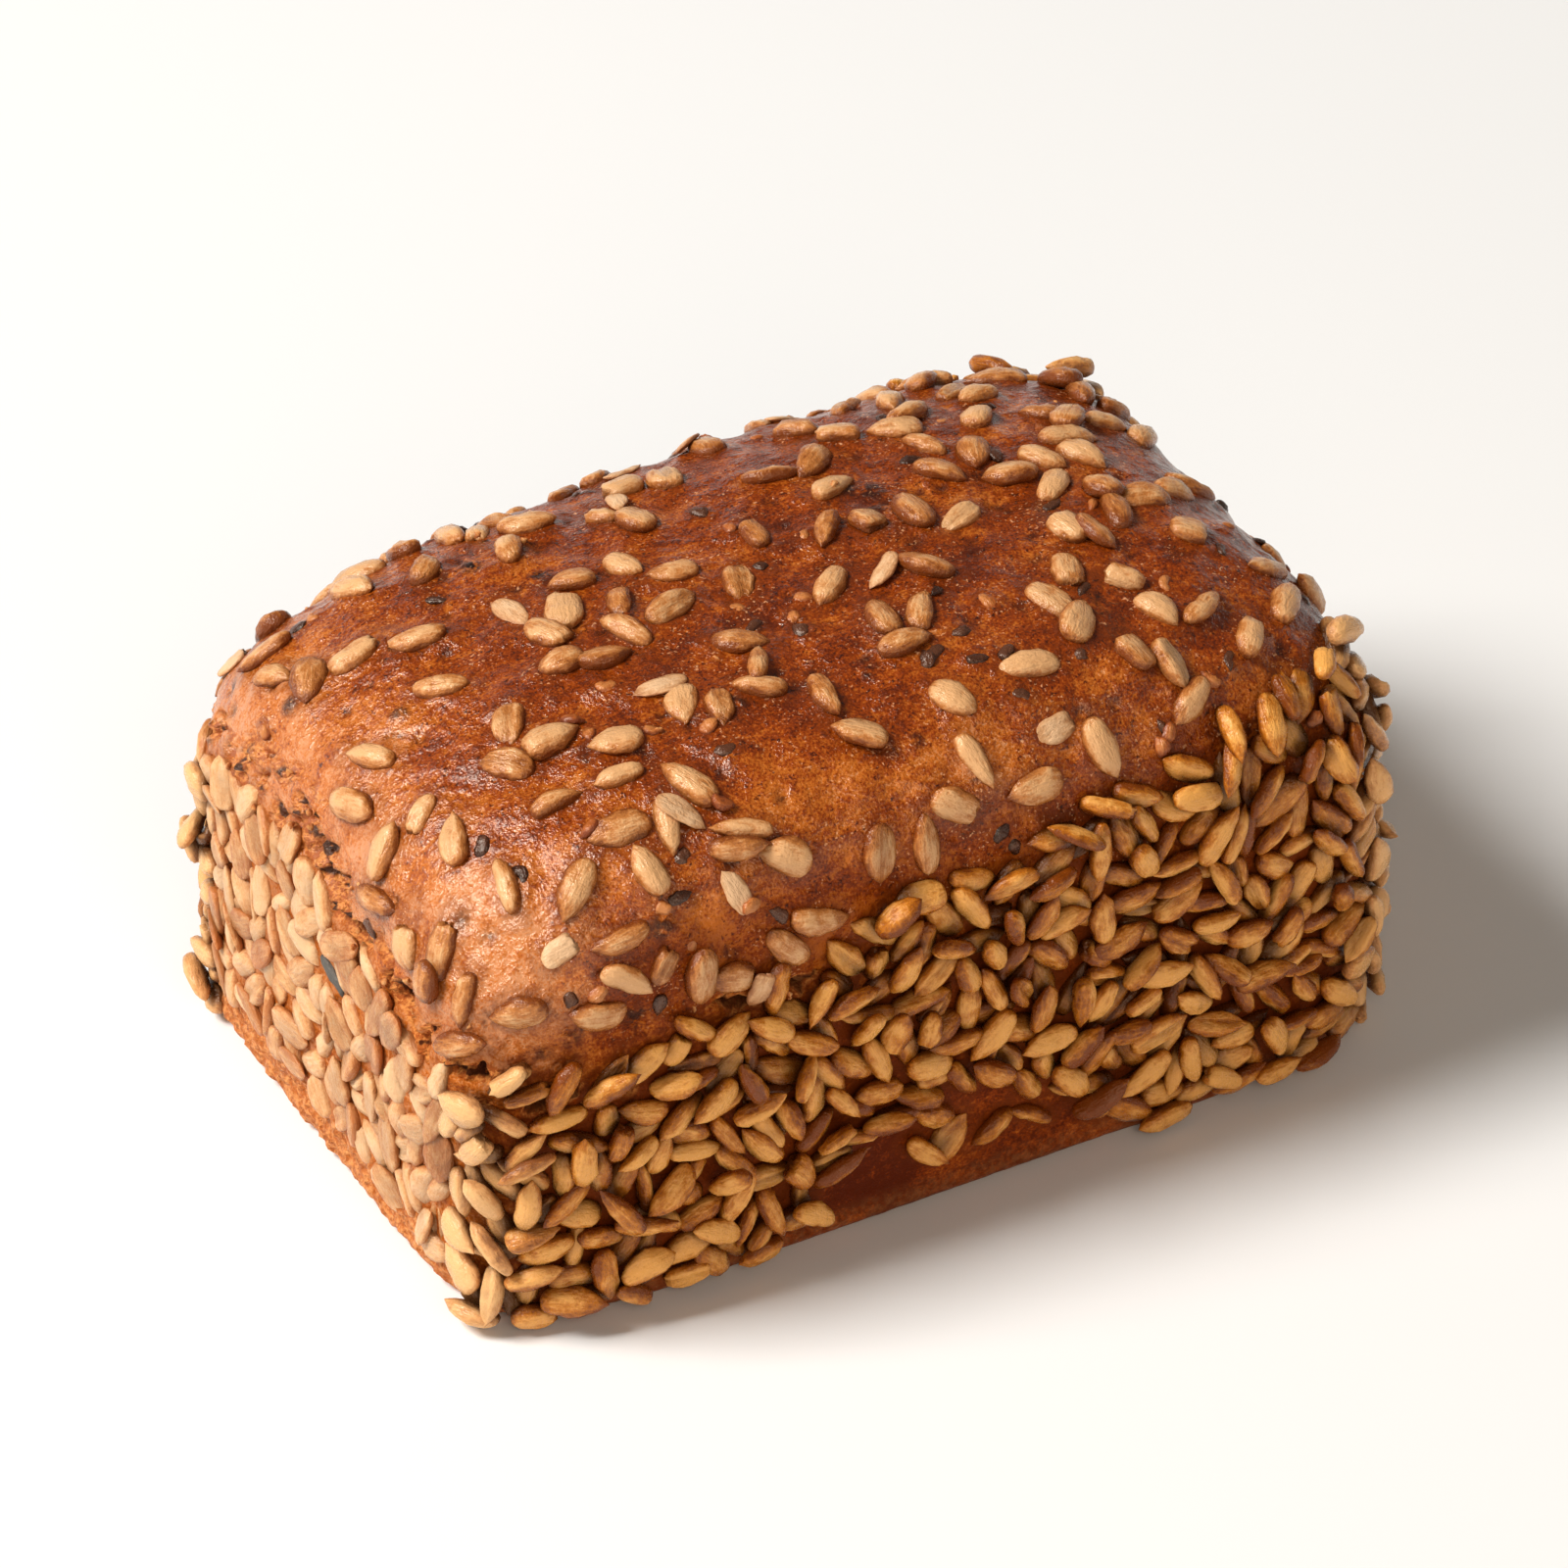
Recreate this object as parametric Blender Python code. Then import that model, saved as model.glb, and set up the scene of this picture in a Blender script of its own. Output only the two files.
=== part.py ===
"""Short rye loaf baked in a tin, with sunflower kernels baked onto its walls and its dome.

Metres, +Z up. The loaf stands on z = 0 with its long axis along X, and the origin is in the middle of its
flat base. Below the rim the crust has the tin's shape: a rectangle with round corners and nearly upright
walls. Above the rim it rose freely into a broad, flat-topped dome, a little higher towards +X.

The loaf is one solid. Its body is a gridded cube whose points are moved to the loaf's surface, and the
kernels are teardrops half sunk in it, set out by an even-spacing rule and united with it.
"""
import math
import random

import bmesh
import bpy
from mathutils import Matrix, Vector, noise

MM = 0.001

# The tin's inside, as half lengths and half widths at the base and at the rim
BASE_HALF_LENGTH = 78.0 * MM
BASE_HALF_WIDTH = 52.5 * MM
RIM_HALF_LENGTH = 79.0 * MM
RIM_HALF_WIDTH = 53.0 * MM
RIM_HEIGHT = 46.0 * MM
TIN_CORNER_POWER = 7.0
FOOT_ROUNDING = 3.0 * MM

# The dome above the rim
LOAF_HEIGHT = 84.0 * MM
DOME_POWER = 3.3
CROWN_CORNER_POWER = 2.2
CORNER_FADE_POWER = 1.5
RISE_TOWARDS_RIGHT = 0.07
RISE_TOWARDS_FRONT = 0.04

# The share of the gridded cube's sides that is wall, and how far up the dome the cube's top edge lies
WALL_SHARE = 0.5
TOP_EDGE = 0.82

# The crust's slow bumps and hollows, and the uneven crease where the dome tore free of the tin's rim
BUMP_HEIGHT = 1.1 * MM
BUMP_WIDTH = 27.0 * MM
CREASE_DEPTH = 1.6 * MM
CREASE_REACH = 4.0 * MM
CREASE_CHANGE = 19.0 * MM

# The grid, in squares along the length, across the width and up the height
SQUARES_LONG = 18
SQUARES_WIDE = 12
SQUARES_HIGH = 10

# A sunflower kernel
KERNEL_LENGTH = 10.0 * MM
KERNEL_WIDTH = 5.6 * MM
KERNEL_THICKNESS = 3.2 * MM
KERNEL_SIZE_SPREAD = 0.1
KERNEL_SIDES = 5
KERNEL_RINGS = 4
KERNEL_TAPER = 0.42
KERNEL_MAX_TILT = math.radians(9)
KERNEL_FLOOR_GAP = 0.6 * MM

# How much of a kernel's half thickness its middle stands above the crust: loose ones on the long walls and
# the dome, and ones pressed nearly flush by the tin on the two ends
LOOSE_LIFT = 0.30
PRESSED_LIFT = -0.20

# Kernels on each part of the crust, and the draws from which the even-spacing rule picks each next one
KERNELS_ON_LONG_WALL = 51
KERNELS_ON_END = 26
KERNELS_ON_DOME = 42
DRAWS_PER_KERNEL = 24
KERNEL_SEED = 11

# Where on the gridded cube the kernels lie, as heights from -1 at the base to 1 at the cube's top edge. The
# dome's draws come from a square larger than the cube's top, so that half of them fall on the shoulders.
WALL_LOWEST = -0.82
BAND_TOP_LEFT = 0.0
BAND_TOP_RIGHT = 0.62
CUBE_SIDE_REACH = 0.97
DOME_DRAW_SIZE = 1.45

CRUST_COLOUR = (0.19, 0.065, 0.022, 1.0)
CRUST_ROUGHNESS = 0.42
SHARP_ANGLE = math.radians(50)

# On the cube: the step that finds the surface's slope, and what counts as no distance at all
NORMAL_STEP = 0.01
NO_DISTANCE = 1e-5


def corner_rounding(p, q, power):
    """Moves a point of the square's edge to the rounded square of the same size."""
    reach = (abs(p) ** power + abs(q) ** power) ** (-1.0 / power)
    return p * reach, q * reach


def wall_point(p, q, share):
    """A point of the tin's wall, at a share of its height from base to rim."""
    height = RIM_HEIGHT * share
    foot = max(0.0, 1.0 - height / FOOT_ROUNDING)
    inset = FOOT_ROUNDING * (1.0 - math.sqrt(1.0 - foot * foot))
    half_length = BASE_HALF_LENGTH + (RIM_HALF_LENGTH - BASE_HALF_LENGTH) * share - inset
    half_width = BASE_HALF_WIDTH + (RIM_HALF_WIDTH - BASE_HALF_WIDTH) * share - inset
    x, y = corner_rounding(p, q, TIN_CORNER_POWER)
    return Vector((x * half_length, y * half_width, height))


def dome_point(p, q, spread, rise):
    """A point of the dome: spread is its share of the rim's size, rise its share of the dome's height."""
    power = TIN_CORNER_POWER + (CROWN_CORNER_POWER - TIN_CORNER_POWER) * rise ** CORNER_FADE_POWER
    x, y = corner_rounding(p, q, power)
    slant = 1.0 + RISE_TOWARDS_RIGHT * x * spread - RISE_TOWARDS_FRONT * y * spread
    height = RIM_HEIGHT + (LOAF_HEIGHT - RIM_HEIGHT) * rise * slant
    return Vector((x * spread * RIM_HALF_LENGTH, y * spread * RIM_HALF_WIDTH, height))


def other_share(share):
    """The height share of a dome ring from its size share, or the other way round."""
    return (1.0 - min(share, 1.0) ** DOME_POWER) ** (1.0 / DOME_POWER)


def smooth_surface(u, v, w):
    """The loaf's surface, without its bumps, for a point of the cube from -1 to 1."""
    around = max(abs(u), abs(v))
    if w >= 1.0:
        if around < NO_DISTANCE:
            return Vector((0.0, 0.0, LOAF_HEIGHT))
        spread = around * other_share(TOP_EDGE)
        return dome_point(u / around, v / around, spread, other_share(spread))
    p, q = u / around, v / around
    share = (w + 1.0) / 2.0
    if share <= WALL_SHARE:
        return wall_point(p, q, share / WALL_SHARE)
    rise = TOP_EDGE * (share - WALL_SHARE) / (1.0 - WALL_SHARE)
    return dome_point(p, q, other_share(rise), rise)


def smooth_normal(u, v, w):
    """The outward direction of the surface there, from two short steps along the cube's face."""
    here = smooth_surface(u, v, w)
    if w >= 1.0:
        step_a = smooth_surface(u + NORMAL_STEP, v, w) - here
        step_b = smooth_surface(u, v + NORMAL_STEP, w) - here
    elif abs(u) >= abs(v):
        step_a = smooth_surface(u, v + NORMAL_STEP * math.copysign(1.0, u), w) - here
        step_b = smooth_surface(u, v, w + NORMAL_STEP) - here
    else:
        step_a = smooth_surface(u - NORMAL_STEP * math.copysign(1.0, v), v, w) - here
        step_b = smooth_surface(u, v, w + NORMAL_STEP) - here
    return step_a.cross(step_b).normalized()


def bump(place):
    """How far the crust stands out or in at a place. It fades to nothing at the flat base."""
    fade = min(1.0, place.z / RIM_HEIGHT)
    crease = max(0.0, 1.0 - abs(place.z - RIM_HEIGHT) / CREASE_REACH)
    torn = 0.5 + noise.noise(place / CREASE_CHANGE)
    return BUMP_HEIGHT * fade * noise.noise(place / BUMP_WIDTH) - CREASE_DEPTH * crease * max(0.0, torn)


def crust_point(u, v, w):
    """The crust at a point of the cube, bumps and all."""
    place = smooth_surface(u, v, w)
    if place.z <= 0.0:
        return place
    return place + smooth_normal(u, v, w) * bump(place)


def even_cuts(squares):
    """Where the planes go that cut a side of the cube, from -1 to 1, into equal squares."""
    return [-1.0 + 2.0 * step / squares for step in range(1, squares)]


def grid_cube():
    """A cube from -1 to 1 with its five upper faces gridded and its base left as one flat face."""
    foot_top = -1.0 + 2.0 * WALL_SHARE * FOOT_ROUNDING / RIM_HEIGHT
    cuts = (even_cuts(SQUARES_LONG), even_cuts(SQUARES_WIDE), [foot_top] + even_cuts(SQUARES_HIGH))
    mesh = bmesh.new()
    bmesh.ops.create_cube(mesh, size=2.0)
    for axis, places in enumerate(cuts):
        towards = Vector((0.0, 0.0, 0.0))
        towards[axis] = 1.0
        for place in places:
            bmesh.ops.bisect_plane(
                mesh,
                geom=mesh.verts[:] + mesh.edges[:] + mesh.faces[:],
                dist=NO_DISTANCE,
                plane_co=towards * place,
                plane_no=towards,
            )
    base = [face for face in mesh.faces if face.normal.z < -0.5]
    bmesh.ops.dissolve_faces(mesh, faces=base)
    return mesh


def shaped_body():
    """The loaf without its kernels."""
    mesh = grid_cube()
    for vert in mesh.verts:
        vert.co = crust_point(*vert.co)
    bmesh.ops.recalc_face_normals(mesh, faces=mesh.faces)
    return mesh


def side_of_cube(side, along, w):
    """A point of one of the cube's four sides: front, right, back or left."""
    return {
        "front": (along, -1.0, w),
        "right": (1.0, along, w),
        "back": (-along, 1.0, w),
        "left": (-1.0, -along, w),
    }[side]


def wall_draw(draw, side):
    """A chance place in the thick band of kernels, whose top climbs towards +X."""
    along = draw.uniform(-CUBE_SIDE_REACH, CUBE_SIDE_REACH)
    place = side_of_cube(side, along, 0.0)
    band_top = BAND_TOP_LEFT + (BAND_TOP_RIGHT - BAND_TOP_LEFT) * (place[0] + 1.0) / 2.0
    return side_of_cube(side, along, draw.uniform(WALL_LOWEST, band_top))


def dome_draw(draw):
    """A chance place on the cube's top face, which is the crown, or on the shoulders below its edge."""
    u = draw.uniform(-DOME_DRAW_SIZE, DOME_DRAW_SIZE)
    v = draw.uniform(-DOME_DRAW_SIZE, DOME_DRAW_SIZE)
    around = max(abs(u), abs(v))
    if around < 1.0:
        return u, v, 1.0
    return u / around, v / around, draw.uniform(BAND_TOP_LEFT, 1.0)


def spaced_places(draw, count, new_place, taken):
    """Sets out places one by one, each the farthest from its neighbours of several draws."""
    places = []
    for _ in range(count):
        draws = [new_place() for _ in range(DRAWS_PER_KERNEL)]
        room = [min((smooth_surface(*place) - other).length for other in taken) for place in draws]
        best = draws[room.index(max(room))]
        places.append(best)
        taken.append(smooth_surface(*best))
    return places


def kernel_turn(draw, normal):
    """A kernel's directions: flat on the crust, pointing any way, with a slight tilt."""
    heading = draw.uniform(0.0, 2.0 * math.pi)
    tilt = draw.uniform(-KERNEL_MAX_TILT, KERNEL_MAX_TILT)
    flat = normal.to_track_quat("Z", "X").to_matrix()
    return flat @ Matrix.Rotation(heading, 3, "Z") @ Matrix.Rotation(tilt, 3, "Y")


def kernel_object(draw, place, lift, collection, name):
    """One teardrop: blunt at one end, pointed at the other, flattened, and sunk into the crust."""
    scale = 1.0 + draw.uniform(-KERNEL_SIZE_SPREAD, KERNEL_SIZE_SPREAD)
    turn = kernel_turn(draw, smooth_normal(*place))
    middle = crust_point(*place) + smooth_normal(*place) * (lift * KERNEL_THICKNESS / 2.0)
    mesh = bmesh.new()
    bmesh.ops.create_uvsphere(mesh, u_segments=KERNEL_SIDES, v_segments=KERNEL_RINGS, radius=1.0)
    for vert in mesh.verts:
        around_x, around_y, along = vert.co
        girth = 1.0 - KERNEL_TAPER * along
        shape = Vector((along * KERNEL_LENGTH, around_y * KERNEL_WIDTH * girth, around_x * KERNEL_THICKNESS * girth))
        vert.co = middle + turn @ (shape * scale / 2.0)
    bmesh.ops.recalc_face_normals(mesh, faces=mesh.faces)
    raise_off_floor(mesh)
    return new_object(name, mesh, collection)


def raise_off_floor(mesh):
    """Lifts a kernel near the foot until it clears the base plane."""
    lowest = min(vert.co.z for vert in mesh.verts)
    if lowest < KERNEL_FLOOR_GAP:
        bmesh.ops.translate(mesh, verts=mesh.verts, vec=(0.0, 0.0, KERNEL_FLOOR_GAP - lowest))


def new_object(name, mesh, collection):
    """Turns a bmesh into a named object of a collection."""
    data = bpy.data.meshes.new(name)
    mesh.to_mesh(data)
    mesh.free()
    made = bpy.data.objects.new(name, data)
    collection.objects.link(made)
    return made


def scatter_kernels(collection):
    """All kernels: the two long walls, the two ends, then the dome."""
    draw = random.Random(KERNEL_SEED)
    taken = [Vector((0.0, 0.0, 0.0))]
    kernels = []
    for side, count, lift in (
        ("front", KERNELS_ON_LONG_WALL, LOOSE_LIFT),
        ("back", KERNELS_ON_LONG_WALL, LOOSE_LIFT),
        ("left", KERNELS_ON_END, PRESSED_LIFT),
        ("right", KERNELS_ON_END, PRESSED_LIFT),
    ):
        for place in spaced_places(draw, count, lambda side=side: wall_draw(draw, side), taken):
            kernels.append((place, lift))
    for place in spaced_places(draw, KERNELS_ON_DOME, lambda: dome_draw(draw), taken):
        kernels.append((place, LOOSE_LIFT))
    for number, (place, lift) in enumerate(kernels):
        kernel_object(draw, place, lift, collection, f"kernel_{number:03d}")


def crust_material():
    """Dark, slightly shiny crust."""
    material = bpy.data.materials.new("crust")
    material.use_nodes = True
    shader = material.node_tree.nodes["Principled BSDF"]
    shader.inputs["Base Color"].default_value = CRUST_COLOUR
    shader.inputs["Roughness"].default_value = CRUST_ROUGHNESS
    shader.inputs["Metallic"].default_value = 0.0
    return material


def unite(body, collection):
    """One union of the body with every kernel, applied."""
    union = body.modifiers.new("kernels", "BOOLEAN")
    union.operation = "UNION"
    union.operand_type = "COLLECTION"
    union.collection = collection
    union.solver = "EXACT"
    evaluated = body.evaluated_get(bpy.context.evaluated_depsgraph_get())
    joined = bpy.data.meshes.new_from_object(evaluated)
    body.modifiers.clear()
    body.data = joined


def remove_collection(collection):
    """Removes the separate kernels once they are part of the loaf."""
    for kernel in list(collection.objects):
        bpy.data.objects.remove(kernel, do_unlink=True)
    bpy.data.collections.remove(collection)


def main():
    for old in list(bpy.data.objects):
        bpy.data.objects.remove(old, do_unlink=True)
    loaf_collection = bpy.data.collections.new("rye_loaf")
    kernel_collection = bpy.data.collections.new("kernels")
    for collection in (loaf_collection, kernel_collection):
        bpy.context.scene.collection.children.link(collection)
    loaf = new_object("loaf", shaped_body(), loaf_collection)
    scatter_kernels(kernel_collection)
    unite(loaf, kernel_collection)
    remove_collection(kernel_collection)
    loaf.data.materials.clear()
    loaf.data.materials.append(crust_material())
    loaf.data.shade_smooth()
    loaf.data.set_sharp_from_angle(angle=SHARP_ANGLE)
    triangles = sum(len(face.vertices) - 2 for face in loaf.data.polygons)
    print("loaf:", len(loaf.data.vertices), "points,", triangles, "triangles")


main()
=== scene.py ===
# %% [markdown]
# # A seeded rye loaf
#
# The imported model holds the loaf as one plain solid: the tin's shape below, the dome above, and the largest
# kernels fused to it. This script gives it the looks of the real thing: a mottled, glossy crust torn open at
# the tin's rim, and hundreds of toasted sunflower kernels. It loads the solid first, because everything after
# it has to sit on the same form, in the same place, in metres.

# %% Load the solid
import math

import bmesh
import bpy
import numpy as np
from mathutils import Matrix, Vector, noise
from mathutils.kdtree import KDTree


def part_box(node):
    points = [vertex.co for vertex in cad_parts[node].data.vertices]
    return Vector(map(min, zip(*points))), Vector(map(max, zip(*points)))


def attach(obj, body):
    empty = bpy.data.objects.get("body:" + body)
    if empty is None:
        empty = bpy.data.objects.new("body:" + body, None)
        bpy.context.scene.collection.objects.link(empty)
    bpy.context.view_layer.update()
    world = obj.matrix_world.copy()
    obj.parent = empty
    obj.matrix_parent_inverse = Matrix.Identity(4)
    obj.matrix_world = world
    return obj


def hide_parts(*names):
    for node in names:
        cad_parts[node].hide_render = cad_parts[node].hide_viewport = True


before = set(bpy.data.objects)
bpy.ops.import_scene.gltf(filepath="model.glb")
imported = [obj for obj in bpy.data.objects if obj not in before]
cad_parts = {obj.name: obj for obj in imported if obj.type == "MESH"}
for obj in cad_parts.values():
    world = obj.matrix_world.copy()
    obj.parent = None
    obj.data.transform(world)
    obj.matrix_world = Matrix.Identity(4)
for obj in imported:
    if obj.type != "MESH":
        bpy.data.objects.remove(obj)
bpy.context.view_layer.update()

MM = 0.001

# %% [markdown]
# ## The loaf's form
#
# A tin loaf could be sculpted by hand, but its form is easy to say in words: a rectangle with round corners,
# nearly upright walls up to the rim, and a broad, flat-topped dome that rose a little higher towards +X. So it
# is a formula. It takes a point on a cube from -1 to 1 and gives the point of the loaf, which lets one fine
# grid carry the walls and the dome without a seam. The sizes are those of the solid.

# %% Form of the loaf
BASE_HALF = np.array([78.0, 52.5]) * MM
RIM_HALF = np.array([79.0, 53.0]) * MM
RIM_HEIGHT = 46.0 * MM
LOAF_HEIGHT = 84.0 * MM
TIN_CORNER_POWER = 7.0
FOOT_ROUNDING = 3.0 * MM
DOME_POWER = 3.3
CROWN_CORNER_POWER = 2.2
CORNER_FADE_POWER = 1.5
RISE_TOWARDS_RIGHT = 0.07
RISE_TOWARDS_FRONT = 0.04
WALL_SHARE = 0.5
TOP_EDGE = 0.82
BUMP_HEIGHT = 1.1 * MM
BUMP_WIDTH = 27.0 * MM


def other_share(share):
    """A dome ring's height share from its size share, or the other way round."""
    return (1.0 - np.clip(share, 0.0, 1.0) ** DOME_POWER) ** (1.0 / DOME_POWER)


def loaf_form(cube):
    """Points of the loaf for points of the cube's surface, one row each."""
    u, v, w = cube.T
    around = np.maximum(np.maximum(np.abs(u), np.abs(v)), 1e-6)
    p, q = u / around, v / around
    p[(p == 0.0) & (q == 0.0)] = 1.0
    share = (w + 1.0) / 2.0
    crown = w > 1.0 - 1e-6
    spread = np.where(crown, around * other_share(TOP_EDGE), 1.0)
    rise = np.where(crown, other_share(spread), TOP_EDGE * (share - WALL_SHARE) / (1.0 - WALL_SHARE))
    rise = np.clip(rise, 0.0, 1.0)
    spread = np.where(crown, spread, other_share(rise))
    wall = np.clip(share / WALL_SHARE, 0.0, 1.0)
    foot = np.clip(1.0 - wall * RIM_HEIGHT / FOOT_ROUNDING, 0.0, 1.0)
    inset = FOOT_ROUNDING * (1.0 - np.sqrt(1.0 - foot * foot))
    half = BASE_HALF + np.outer(wall, RIM_HALF - BASE_HALF) - inset[:, None]
    power = TIN_CORNER_POWER + (CROWN_CORNER_POWER - TIN_CORNER_POWER) * rise ** CORNER_FADE_POWER
    reach = (np.abs(p) ** power + np.abs(q) ** power) ** (-1.0 / power)
    x, y = p * reach * spread, q * reach * spread
    slant = 1.0 + RISE_TOWARDS_RIGHT * x - RISE_TOWARDS_FRONT * y
    height = RIM_HEIGHT * wall + (LOAF_HEIGHT - RIM_HEIGHT) * rise * slant
    return np.stack([x * half[:, 0], y * half[:, 1], height], axis=1)


# %% [markdown]
# ## A grid for the crust
#
# The crust needs points less than a millimetre apart, so that cracks, blisters and the dough round each kernel
# are real shape and not only shading. Blender's grid primitive makes each side of the cube, and the sides are
# welded. The base stays one flat face, because nothing on it is ever more than a smooth floury skin. The
# solid's slow swell and the dimples of baked dough come first, because the kernels rest on them.

# %% Grid
SQUARES_LONG = 184
SQUARES_WIDE = 124
SQUARES_HIGH = 112


def cube_grid():
    """A cube from -1 to 1: four sides and a top in fine squares, and a base of one face."""
    grid = bmesh.new()
    upright = Matrix.Translation((0.0, -1.0, 0.0)) @ Matrix.Rotation(math.pi / 2.0, 4, "X")
    for quarter, squares in enumerate((SQUARES_LONG, SQUARES_WIDE, SQUARES_LONG, SQUARES_WIDE)):
        turned = Matrix.Rotation(quarter * math.pi / 2.0, 4, "Z") @ upright
        bmesh.ops.create_grid(grid, x_segments=squares, y_segments=SQUARES_HIGH, size=1.0, matrix=turned)
    top = Matrix.Translation((0.0, 0.0, 1.0))
    bmesh.ops.create_grid(grid, x_segments=SQUARES_LONG, y_segments=SQUARES_WIDE, size=1.0, matrix=top)
    bmesh.ops.remove_doubles(grid, verts=grid.verts, dist=1e-4)
    rim = [edge for edge in grid.edges if edge.is_boundary]
    bmesh.ops.contextual_create(grid, geom=rim)
    bmesh.ops.recalc_face_normals(grid, faces=grid.faces)
    return grid


def points_of(mesh):
    """A mesh's points as an array, one row each."""
    flat = np.empty(len(mesh.vertices) * 3, dtype=np.float32)
    mesh.vertices.foreach_get("co", flat)
    return flat.reshape(-1, 3).astype(float)


def normals_of(mesh):
    """A mesh's outward directions, one row for each point."""
    flat = np.empty(len(mesh.vertices) * 3, dtype=np.float32)
    mesh.vertex_normals.foreach_get("vector", flat)
    return flat.reshape(-1, 3).astype(float)


def move_points(mesh, points):
    """Puts a mesh's points in new places."""
    mesh.vertices.foreach_set("co", points.astype(np.float32).ravel())
    mesh.update()


def wander(places, width, seed=0.0, octaves=1):
    """Smooth noise, about -1 to 1, with waves as wide as width."""
    shift = Vector((seed, 1.7 * seed, -0.6 * seed))
    spots = [Vector(place) / width + shift for place in places]
    if octaves == 1:
        return np.array([noise.noise(spot) for spot in spots])
    return np.array([noise.fractal(spot, 0.9, 2.1, octaves) for spot in spots])


def step_up(value, low, high):
    """0 below low, 1 above high, and a smooth rise between."""
    share = np.clip((value - low) / (high - low), 0.0, 1.0)
    return share * share * (3.0 - 2.0 * share)


grid = cube_grid()
crust_mesh = bpy.data.meshes.new("crust")
grid.to_mesh(crust_mesh)
grid.free()
cube = points_of(crust_mesh)
move_points(crust_mesh, loaf_form(cube))
smooth_points, smooth_normals = points_of(crust_mesh), normals_of(crust_mesh)
fade = np.clip(smooth_points[:, 2] / RIM_HEIGHT, 0.0, 1.0)
swell = BUMP_HEIGHT * wander(smooth_points, BUMP_WIDTH)
dimples = 0.7 * MM * wander(smooth_points, 7.0 * MM, 2.0) + 0.24 * MM * wander(smooth_points, 2.8 * MM, 4.0, 2)
bed = smooth_points + smooth_normals * (fade * (swell + dimples))[:, None]
bed_normal = smooth_normals
on_front, on_back = smooth_normals[:, 1] < -0.35, smooth_normals[:, 1] > 0.35
on_left, on_right = smooth_normals[:, 0] < -0.75, smooth_normals[:, 0] > 0.75
print("crust grid:", len(cube), "points,", len(crust_mesh.polygons), "faces")

# %% [markdown]
# ## Where the crust tore
#
# While the crumb swelled, the crust tore along the tin's rim: a row of short, ragged openings. On the long
# sides the line stays at the rim. On the ends it climbs in an arch over the middle. A torn line could be cut
# with a Boolean, but its ragged lips are easier as a field: how strongly each point is torn. The same field
# later sinks the points and colours them like crumb.

# %% Tear field
TEAR_ALONG_END = [(-53, 45), (-40, 47), (-15, 52), (-5, 56), (1, 59.5), (6, 63), (15, 60), (27, 58), (53, 56)]
TEAR_ALONG_SIDE = [(-79, 44), (-66, 42), (-56, 42), (-46, 47), (-40, 51.5), (-30, 50.5), (-10, 52), (79, 46)]
OPEN_ALONG_END = [(-53, 0.35), (-32, 0.4), (-20, 0.9), (8, 1.0), (22, 0.8), (36, 0.5), (53, 0.5)]
OPEN_ALONG_SIDE = [(-79, 0.5), (-66, 0.8), (-50, 1.0), (-32, 0.9), (-20, 0.0), (79, 0.0)]
TEAR_WAVER = 2.4 * MM
TEAR_RAGGED = 1.5 * MM
TEAR_WIDTH_END = 3.6 * MM
TEAR_WIDTH_SIDE = 1.5 * MM
TEAR_DEPTH = 3.6 * MM
LIP_HEIGHT = 0.7 * MM


def end_share(points):
    """0 on the long sides, 1 on the ends, and between on the round corners."""
    return step_up(np.abs(points[:, 0]), 68.0 * MM, 77.0 * MM)


def along_rim(points, end_table, side_table):
    """A number that changes along the ends and along the long sides, from two tables in millimetres."""
    at_end = end_share(points)
    on_ends = np.interp(points[:, 1] / MM, *zip(*end_table))
    on_sides = np.interp(points[:, 0] / MM, *zip(*side_table))
    return at_end * on_ends + (1.0 - at_end) * on_sides


def tear_field(points):
    """How open the crust is, 0 to 1, and how far each point lies above the tear's line."""
    above = points[:, 2] - along_rim(points, TEAR_ALONG_END, TEAR_ALONG_SIDE) * MM
    above += TEAR_WAVER * wander(points, 9.0 * MM, 3.1) + TEAR_RAGGED * wander(points, 2.9 * MM, 6.1)
    strength = along_rim(points, OPEN_ALONG_END, OPEN_ALONG_SIDE)
    patches = step_up(wander(points, 5.0 * MM, 7.7) + 0.4 * strength, 0.05, 0.3) * step_up(strength, 0.0, 0.4)
    width = TEAR_WIDTH_SIDE + (TEAR_WIDTH_END - TEAR_WIDTH_SIDE) * end_share(points)
    width = width * (0.4 + 0.6 * patches) * (1.0 + 0.6 * wander(points, 2.4 * MM, 9.3))
    return patches * np.exp(-(above / width) ** 2), above


torn, above_tear = tear_field(bed)
print("torn points:", int((torn > 0.3).sum()))

# %% [markdown]
# ## Kernels that come to rest
#
# On the real loaf the shaped dough is rolled in kernels. They lie flat wherever there is room, lean on each
# other where there isn't, and on the ends the tin has pressed them into the dough. A particle system would
# drop out of the exported model and would let kernels cut through each other. So each kernel is laid down by
# a small rule: it looks at the ground under it, which is the crust and whatever already lies there, tilts to
# match, rests on the highest points, and then becomes ground for the next one. A crowded place refuses it.
# Dark linseeds, thin flakes and small bits of broken kernels are laid by the same rule.

# %% How a kernel comes to rest
TIP_POWER = 0.54
BUTT_POWER = 0.4
STEEPEST = 0.8
FLOOR_GAP = 0.9 * MM
COLLAR_REACH = 1.5 * MM

closed = torn.copy()
ground = np.zeros(len(bed))
collar = np.zeros(len(bed))
laid = []
search = KDTree(len(bed))
for index, place in enumerate(bed):
    search.insert(place, index)
search.balance()


def girth(along, tip=TIP_POWER, butt=BUTT_POWER):
    """A kernel's half width from -1 at its blunt end to 1 at its point, at most 1."""
    inside = np.clip(along, -1.0, 1.0)
    widest = (butt - tip) / (tip + butt)
    fullness = (1.0 - widest) ** tip * (1.0 + widest) ** butt
    return (1.0 - inside) ** tip * (1.0 + inside) ** butt / fullness


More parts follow.
